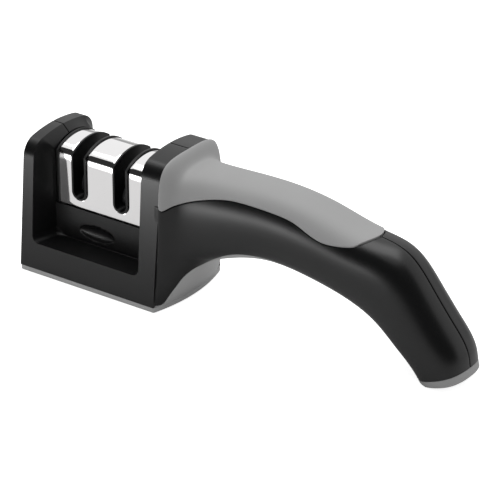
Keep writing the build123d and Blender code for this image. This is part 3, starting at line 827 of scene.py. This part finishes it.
def cover_rows():
    """The cover's end view as (y, z) rows from the front foot over the arch to the rear foot, and
    the half width of a slot at each row's height. An upright side curls in by ten degrees round a wide
    circle, then a small circle takes it on to the arch's own circle, tangent to both."""
    slot_bend_z = slot_bottom_height + slot_half_width
    sagitta = cover_top_height - cover_bend_height
    radius = (cover_half_depth ** 2 + sagitta ** 2) / 2 / sagitta
    arch_z = cover_top_height - radius
    curl_z = cover_curl_end - cover_curl_radius * math.sin(cover_curl)
    turn = np.linspace(0, cover_curl, 9)[1:, None]
    curl = np.hstack([cover_curl_radius * (1 - np.cos(turn)) - cover_half_depth,
                      curl_z + cover_curl_radius * np.sin(turn)])
    inward = np.array([math.cos(cover_curl), -math.sin(cover_curl)])
    from_arch = curl[-1] - (0, arch_z)
    bend_radius = (radius ** 2 - from_arch @ from_arch) / 2 / (radius + from_arch @ inward)
    centre = from_arch + bend_radius * inward
    end = centre * radius / (radius - bend_radius)
    bend = arc_between(from_arch, end, centre, 14)[1:]
    turn = np.linspace(0, math.pi / 2, 13)
    levels = np.concatenate([[cover_bottom_height, cover_lip_height],
                             slot_bend_z - slot_half_width * np.cos(turn),
                             np.linspace(slot_bend_z, curl_z, 12)[1:]])
    side = np.stack([np.full_like(levels, -cover_half_depth), levels], 1)
    half = np.vstack([side, curl, bend + (0, arch_z)])
    arch = arc_between(bend[-1], bend[-1] * (-1, 1), (0, 0), 41)[1:-1] + (0, arch_z)
    rows = np.vstack([half, arch, half[::-1] * (-1, 1)]) + (cover_middle, 0)
    drop = np.clip(slot_bend_z - rows[:, 1], 0, slot_half_width)
    half_width = np.sqrt(np.clip(slot_half_width ** 2 - drop ** 2, 0, None))
    return rows, half_width * (rows[:, 1] > slot_bottom_height)


def land_grid(start, end, count):
    """The strip of the cover between two edge lines, each an x for every row."""
    part = np.linspace(0, 1, count)[:, None]
    x = start + (end - start) * part
    rows = np.broadcast_to(cover_profile, (count, *cover_profile.shape))
    return np.concatenate([x[..., None], rows], -1)


def round_edges(piece, width, angle):
    """Add a small bevel on every edge sharper than an angle, and return it."""
    bevel = piece.modifiers.new("edges", "BEVEL")
    bevel.limit_method = "ANGLE"
    bevel.angle_limit = math.radians(angle)
    bevel.width = width * mm
    bevel.segments = 2
    return bevel


cover_profile, slot_opening = cover_rows()
flat = np.zeros_like(slot_opening)
lands = [
    land_grid(cover_left + flat, slot_centres[0] - slot_opening, 7),
    land_grid(slot_centres[0] + slot_opening, slot_centres[1] - slot_opening, 11),
    land_grid(slot_centres[1] + slot_opening, cover_right + flat, 7),
]
cover = close_mesh("arched_cover", lands, polished_chrome, False, 30, (), False)
wall = cover.modifiers.new("plate", "SOLIDIFY")
wall.thickness = cover_thickness * mm
wall.offset = -1
round_edges(cover, cover_edge_radius, 32)
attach(cover, "root")
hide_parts("slot_cover")

# The grip. Soft grey rubber moulded over the handle: a tall collar against the right cheek that
# runs into a tongue. It stands a little proud and a fine dark gap follows its lower edge.
grip_rubber = surface_material("grip_rubber", (0.33, 0.33, 0.33), 0.55, 0.3, 0.006, specular=0.4)
grip_edge_radius = 0.55
collar_face = 34.3
grip_crowding = 1.7


def place_of_x(x_top):
    """Distance along at which the handle's top line reaches an x."""
    places = np.linspace(0, rib_places[-1], 2000)
    return np.interp(x_top, handle_point(0.0, places)[:, 0], places)


def first_place(first_rib, last_rib, reached):
    """The first place along between two ribs at which a test holds."""
    probe = np.linspace(rib_places[first_rib], rib_places[last_rib], 1200)
    return probe[np.argmax(reached(probe))]


def crowded_places(start, end, crowding, count):
    """Places along that lie closer together towards their end."""
    return start + (end - start) * (1 - (1 - np.linspace(0, 1, count)) ** crowding)


grip_start = place_of_x(collar_face)
grip_end = first_place(middle_rib, middle_rib + 2, lambda places: grip_limit(places, 0, grip_proud) <= 0)
bend = np.linspace(0, math.pi / 2, 7)
start_rows = grip_start + grip_edge_radius * (1 - np.cos(bend))
start_drop = grip_edge_radius * (1 - np.sin(bend))
body_rows = crowded_places(start_rows[-1], grip_end, grip_crowding, 210)[1:]
grip_along = np.concatenate([[grip_start], start_rows, body_rows])
grip_drop = np.concatenate([[skin_depth + grip_proud], start_drop, np.zeros(len(body_rows))])
grip_turn = grip_limit(grip_along, 0, grip_proud)
grip_grid = rounded_panel(-grip_turn, grip_turn, grip_along, grip_drop, grip_proud,
                          skin_depth + grip_proud, grip_edge_radius, 90)
grip = close_mesh("soft_grip", [grip_grid], grip_rubber, sharp=50)
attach(grip, "root")
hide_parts("top_grip")

# The base pad with its heel, one soft grey moulding: a flat plate under the head, and a tongue that
# sweeps up under the handle and runs out along it.
pad_rubber = surface_material("pad_rubber", (0.43, 0.43, 0.43), 0.5, 0.3, 0.005)
pad_reach = 0.3
pad_bow = 3.5
pad_corner_radius = 0.9
pad_least_radius = 0.02
pad_edge_radius = 0.8
pad_top_radius = 0.25
pad_inner_inset = 6.0
heel_start = 0.35
heel_edge_radius = 0.3
heel_crowding = 1.5


def rounded_rectangle(half_x, half_y, inset, corner, middle_x, count=7):
    """Points round a rectangle with round corners, drawn in by an inset, whose right end bows out."""
    radius = max(corner - inset, pad_least_radius)
    angle = np.linspace(0, math.pi / 2, count)
    turns = (angle[None, :] + np.arange(4)[:, None] * math.pi / 2).ravel()
    quarter = np.repeat(np.arange(4), count)
    side_x = np.where((quarter == 0) | (quarter == 3), 1, -1) * (half_x - inset - radius)
    side_y = np.where(quarter < 2, 1, -1) * (half_y - inset - radius)
    ring = np.stack([middle_x + side_x + radius * np.cos(turns), side_y + radius * np.sin(turns)], 1)
    end_y = np.linspace(ring[-1, 1], ring[0, 1], 25)[1:-1]
    ring = np.vstack([ring, np.column_stack([np.full(len(end_y), ring[0, 0]), end_y])])
    ring[:, 0] += np.where(ring[:, 0] > 0, pad_bow * np.clip(1 - (ring[:, 1] / half_y) ** 2, 0, None), 0)
    return ring


def make_plate():
    """The plate as rings: out along the bottom, round the lower edge, up the side and back in."""
    lower = np.linspace(0, math.pi / 2, 7)
    upper = np.linspace(0, math.pi / 2, 4)
    insets = np.concatenate([[pad_inner_inset], pad_edge_radius * (1 - np.sin(lower)),
                             pad_top_radius * (1 - np.cos(upper)), [pad_inner_inset]])
    heights = np.concatenate([[0], pad_edge_radius * (1 - np.cos(lower)),
                              pad_thickness - pad_top_radius * (1 - np.sin(upper)), [pad_thickness]])
    half_x = head_half_length + pad_reach / 2
    rings = []
    for inset, height in zip(insets, heights):
        ring = rounded_rectangle(half_x, head_half_depth, inset, pad_corner_radius, pad_reach / 2)
        rings.append(np.column_stack([ring, np.full(len(ring), height)]))
    return np.stack(rings)


heel_end = first_place(middle_rib - 1, middle_rib + 1, lambda places: heel_limit(places, 0) >= 1)
heel_along = crowded_places(heel_start, heel_end, heel_crowding, 170)
heel_turn = heel_limit(heel_along, 0)
heel_grid = rounded_panel(heel_turn, 2 - heel_turn, heel_along, np.zeros_like(heel_along), 0.0, skin_depth,
                          heel_edge_radius, 60)
base_pad = close_mesh("base_pad_and_heel", [make_plate(), heel_grid], pad_rubber, sharp=50)
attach(base_pad, "root")
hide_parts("base_pad")

# The foot. A grey rubber cap on the end of the handle, flush with it, with a rounded lower edge.
foot_rubber = surface_material("foot_rubber", (0.30, 0.30, 0.30), 0.5, 0.3, 0.005)
foot_edge_radius = 1.2
foot_top_radius = 0.2
foot_front_base = 3.9
foot_back_base = -2.3
foot_gap = 0.04
foot_inner_inset = 3.0
foot_round_share = 0.45
foot_least_round = 0.05
foot_search_overrun = 3.0


def foot_base(x):
    """Height of the foot's underside: flat on the table, then a straight slope up to the tip."""
    back_x = rib_values[-2, 2]
    front_x = head_half_length + handle_length
    slope = (foot_front_base - foot_back_base) / (front_x - back_x)
    return np.maximum(foot_back_base + slope * (x - back_x), 0)


def foot_round(x):
    """Radius of the lower edge, less where the foot is thin."""
    return np.clip(foot_round_share * (foot_height(x) - foot_base(x)), foot_least_round, foot_edge_radius)


def foot_ring(height_of, inset_of):
    """The handle's outline at a height that depends on x, drawn in level by an inset."""
    turn = np.linspace(0, 2, 181)[:-1]
    folded = np.where(turn > 1, 2 - turn, turn)
    ring = handle_point(turn, level_along(folded, height_of, tail_start, tail_end + foot_search_overrun))
    ahead = np.roll(ring, -1, axis=0) - np.roll(ring, 1, axis=0)
    outward = np.stack([ahead[:, 1], -ahead[:, 0]], 1)
    outward /= np.linalg.norm(outward, axis=1, keepdims=True)
    outward *= np.sign(((ring - ring.mean(axis=0))[:, :2] * outward).sum())
    ring[:, :2] -= outward * inset_of(ring[:, 0])[:, None]
    ring[:, 2] = height_of(ring[:, 0])
    return ring


def make_foot_rings():
    """Rings from inside the foot's top, over its rounded upper edge, down the side, round the lower
    edge along a quarter circle and in across the underside."""
    def side_height(share):
        return lambda x: foot_base(x) + foot_round(x) + share * (
            foot_height(x) - foot_gap - foot_base(x) - foot_round(x))

    def edge_height(angle):
        return lambda x: foot_base(x) + foot_round(x) * (1 - math.sin(angle))

    top = side_height(1.0)
    chamfer = foot_top_radius * 0.3
    insets = (foot_inner_inset, foot_top_radius)
    rings = [foot_ring(top, lambda x: np.full_like(x, inset)) for inset in insets]
    rings.append(foot_ring(lambda x: top(x) - chamfer, lambda x: np.full_like(x, chamfer)))
    rings += [foot_ring(side_height(share), np.zeros_like) for share in np.linspace(0.95, 0, 12)]
    for angle in np.linspace(0, math.pi / 2, 8)[1:]:
        rings.append(foot_ring(edge_height(angle), lambda x: foot_round(x) * (1 - math.cos(angle))))
    middle = rings[-1].mean(axis=0)
    for share in (0.7, 0.4, 0.15):
        ring = middle + (rings[-1] - middle) * share
        ring[:, 2] = foot_base(ring[:, 0])
        rings.append(ring)
    return np.stack(rings)


foot = close_mesh("tip_foot_cap", [make_foot_rings()], foot_rubber, sharp=50)
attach(foot, "root")
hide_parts("tip_foot")

# The cartridge inside the cover, in black plastic: the frame that carries the axle, the tray that
# closes it from below, and the U-shaped guides whose rims stand a little proud of the chrome.
smooth_black = surface_material("smooth_black", (0.0025, 0.0025, 0.0027), 0.3, 0.5, 0.002, specular=0.25)


def softened_copy(node, name, width, material):
    """A merged copy of a CAD node, shaded smooth between its sharp edges, which a bevel rounds."""
    mesh = bpy.data.objects[node].data.copy()
    work = bmesh.new()
    work.from_mesh(mesh)
    bmesh.ops.remove_doubles(work, verts=work.verts, dist=merge_distance)
    bmesh.ops.dissolve_limit(work, angle_limit=math.radians(1), verts=work.verts, edges=work.edges)
    work.to_mesh(mesh)
    work.free()
    mesh.name = name
    mesh.shade_smooth()
    mesh.set_sharp_from_angle(angle=math.radians(30))
    mesh.materials.clear()
    mesh.materials.append(material)
    piece = put(name, mesh)
    round_edges(piece, width, 40).harden_normals = True
    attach(piece, "root")
    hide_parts(node)
    return piece


softened_copy("cartridge_frame", "cartridge_housing", 0.12, smooth_black)
softened_copy("swarf_tray", "filings_tray", 0.2, smooth_black)
softened_copy("coarse_slot_guide", "coarse_guide", 0.18, smooth_black)
softened_copy("fine_slot_guide", "fine_guide", 0.18, smooth_black)

# The sharpening wheels. Each stage has two cone-faced abrasive rings that meet in a V, pressed on a
# black hub that turns on a steel axle between two steel washers.
axle_height = 34.2
axle_radius = 1.5
running_fit = 0.05
hub_radius = 3.0
hub_half_length = 4.4
wheel_radius = 6.6
wheel_thickness = 3.6
wheel_gap = 0.3
wheel_slope = math.tan(math.radians(20))
washer_radius = 3.4
washer_start = 4.525
washer_end = 5.425
washer_chamfer = 0.1
axle_chamfer = 0.2
pole_radius = 0.01
round_steps = 72
# The abrasive rings are dark grit and dark ceramic, their colours darkened further as painted shade so that
# the slots read black.
grit_with_painted_shade = surface_material("grit_with_painted_shade", (0.022, 0.022, 0.024), 0.75, 0.25, 0.05, 0.25)
ceramic_with_painted_shade = surface_material("ceramic_with_painted_shade", (0.035, 0.035, 0.037), 0.5, 0.15, 0.012, 0.1)
plain_steel = surface_material("plain_steel", (0.42, 0.42, 0.43), 0.3, 0.2, 0.002, 0.05, 1.0)


def turned(profile, middle, axis, count=round_steps):
    """A profile of (along, radius) rows turned about an axis through a middle point."""
    rows = np.asarray(profile, float)
    angle = np.linspace(0, 2 * math.pi, count + 1)[:-1]
    across = {"x": ((0, 1, 0), (0, 0, 1), (1, 0, 0)), "y": ((1, 0, 0), (0, 0, 1), (0, 1, 0)),
              "z": ((1, 0, 0), (0, 1, 0), (0, 0, 1))}[axis]
    first, second, ahead = (np.array(direction, float) for direction in across)
    spoke = np.cos(angle)[:, None] * first + np.sin(angle)[:, None] * second
    return rows[:, None, :1] * ahead + rows[:, None, 1:] * spoke[None] + np.asarray(middle, float)


def closed_profile(points, chamfer=0.15):
    """A closed (along, radius) profile whose corners are cut by a small chamfer."""
    points = np.asarray(points, float)
    before = np.roll(points, 1, axis=0) - points
    after = np.roll(points, -1, axis=0) - points
    before /= np.linalg.norm(before, axis=1, keepdims=True)
    after /= np.linalg.norm(after, axis=1, keepdims=True)
    pairs = np.stack([points + before * chamfer, points + after * chamfer], 1).reshape(-1, 2)
    return np.vstack([pairs, pairs[:1]])


for stage, centre, finish, slot_name in (("coarse", slot_centres[0], grit_with_painted_shade, "coarse_grit"),
                                         ("fine", slot_centres[1], ceramic_with_painted_shade, "fine_ceramic")):
    hub_middle = (centre, cover_middle, axle_height)
    for side, side_name in ((-1, "left"), (1, "right")):
        bore = hub_radius + running_fit
        near = side * wheel_gap / 2
        slope_end = near + side * wheel_slope * (wheel_radius - bore)
        far = near + side * wheel_thickness
        profile = closed_profile([(near, bore), (slope_end, wheel_radius), (far, wheel_radius),
                                  (far, bore)])
        wheel = close_mesh(f"{stage}_ring_{side_name}", [turned(profile, hub_middle, "x")], finish)
        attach(wheel, f"{stage}_wheels")
        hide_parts(f"{stage}_wheel_{side_name}")
    bore = axle_radius + running_fit
    profile = closed_profile([(-hub_half_length, bore), (-hub_half_length, hub_radius),
                              (hub_half_length, hub_radius), (hub_half_length, bore)])
    hub = close_mesh(f"{stage}_sleeve", [turned(profile, hub_middle, "x")], smooth_black)
    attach(hub, f"{stage}_wheels")
    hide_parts(f"{stage}_hub")
    rings = []
    for side in (-1, 1):
        near, far = side * washer_start, side * washer_end
        profile = closed_profile([(near, bore), (near, washer_radius), (far, washer_radius), (far, bore)],
                                 washer_chamfer)
        rings.append(turned(profile, hub_middle, "x"))
    washers = close_mesh(f"{stage}_thrust_rings", rings, plain_steel)
    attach(washers, "root")
    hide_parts(f"{stage}_washers")

axle_low, axle_high = (np.array(corner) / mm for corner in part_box("wheel_axle"))
profile = [(axle_low[0], pole_radius), (axle_low[0], axle_radius - axle_chamfer),
           (axle_low[0] + axle_chamfer, axle_radius), (axle_high[0] - axle_chamfer, axle_radius),
           (axle_high[0], axle_radius - axle_chamfer), (axle_high[0], pole_radius)]
axle = close_mesh("axle_pin", [turned(profile, (0, cover_middle, axle_height), "x")], plain_steel)
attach(axle, "root")
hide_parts("wheel_axle")

# The screws. Steel, with a six-sided socket in a low round head: four sink into wells in the rear
# half shell and draw the halves together, and two hold the tray from below.
screw_radius = 1.4
screw_head_radius = 2.7
screw_head_height = 1.8
screw_head_depth = 9.0
screw_tip_depth = 8.0
socket_flat = 1.1
socket_depth = 1.0
socket_rows = slice(8, 10)
tip_taper = 0.3
tip_length = 0.5
head_round = 0.5
head_round_step = 0.15
low_screw_height = 7.85
handle_screw_ribs = (4, 10)
well_radius = 2.85
well_end = 40.0
boss_radius = 4.4
boss_wall = 1.5
boss_end = 12.0


def screw_grid(head_seat, tip, middle, axis):
    """A screw turned from its tip to its head, signed so that the head lies past its seat. The last
    rows are the socket, whose radius at an angle is the flat's distance over the cosine to it."""
    way = math.copysign(1, head_seat - tip)
    face = head_seat + way * screw_head_height
    floor = face - way * socket_depth
    profile = [(tip, pole_radius), (tip, screw_radius - tip_taper), (tip + way * tip_length, screw_radius),
               (head_seat, screw_radius), (head_seat, screw_head_radius),
               (face - way * head_round, screw_head_radius),
               (face - way * head_round_step, screw_head_radius - head_round_step),
               (face, screw_head_radius - head_round), (face, socket_flat), (floor, socket_flat),
               (floor, pole_radius)]
    grid = turned(profile, middle, axis)
    angle = np.linspace(0, 2 * math.pi, round_steps + 1)[:-1]
    stretch = 1 / np.cos((angle + math.pi / 6) % (math.pi / 3) - math.pi / 6)
    centre = turned([(row[0], 0.0) for row in profile], middle, axis)[socket_rows]
    grid[socket_rows] = centre + (grid[socket_rows] - centre) * stretch[None, :, None]
    return grid


screw_places = [(opening_left, low_screw_height), (opening_right, low_screw_height)]
screw_places += [tuple(rib_middles[rib]) for rib in handle_screw_ribs]
grids = [screw_grid(screw_head_depth, -screw_tip_depth, (x, 0, z), "y") for x, z in screw_places]
shell_screws = close_mesh("shell_screw_set", grids, plain_steel, sharp=25)
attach(shell_screws, "root")
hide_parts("shell_screws")
tray_low, tray_high = (np.array(corner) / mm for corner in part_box("tray_screws"))
tray_seat = tray_low[2] + screw_head_height
grids = [screw_grid(tray_seat, tray_high[2], (x, cover_middle, 0), "z")
         for x in (tray_low[0] + screw_head_radius, tray_high[0] - screw_head_radius)]
tray_screws = close_mesh("tray_screw_pair", grids, plain_steel, sharp=25)
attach(tray_screws, "root")
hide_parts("tray_screws")


def drill(piece, places):
    """Sink round wells from behind into a piece: each is a cylinder taken away from its mesh."""
    profile = [(screw_head_depth, pole_radius), (screw_head_depth, well_radius), (well_end, well_radius),
               (well_end, pole_radius)]
    cutter = close_mesh("wells", [turned(profile, (x, 0, z), "y", 48) for x, z in places], black_moulding)
    cut = piece.modifiers.new("wells", "BOOLEAN")
    cut.object = cutter
    cut.operation = "DIFFERENCE"
    cut.solver = "EXACT"
    edges = piece.modifiers.get("edges")
    if edges:
        piece.modifiers.move(piece.modifiers.find("wells"), 0)
        edges.show_viewport = False
    drilled = bpy.data.meshes.new_from_object(piece.evaluated_get(bpy.context.evaluated_depsgraph_get()))
    piece.modifiers.remove(cut)
    if edges:
        edges.show_viewport = True
    piece.data = drilled
    bpy.data.objects.remove(cutter)


drill(head_rear, screw_places[:2])
drill(handle_rear, screw_places[2:])
boss_start = screw_head_depth - boss_wall
boss_profile = [(boss_start, screw_radius), (boss_start, boss_radius), (boss_end, boss_radius),
                (boss_end, well_radius), (screw_head_depth, well_radius),
                (screw_head_depth, screw_radius), (boss_start, screw_radius)]
grids = [turned(boss_profile, (x, 0, z), "y") for x, z in screw_places[2:]]
bosses = close_mesh("screw_bosses", grids, black_moulding)
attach(bosses, "root")
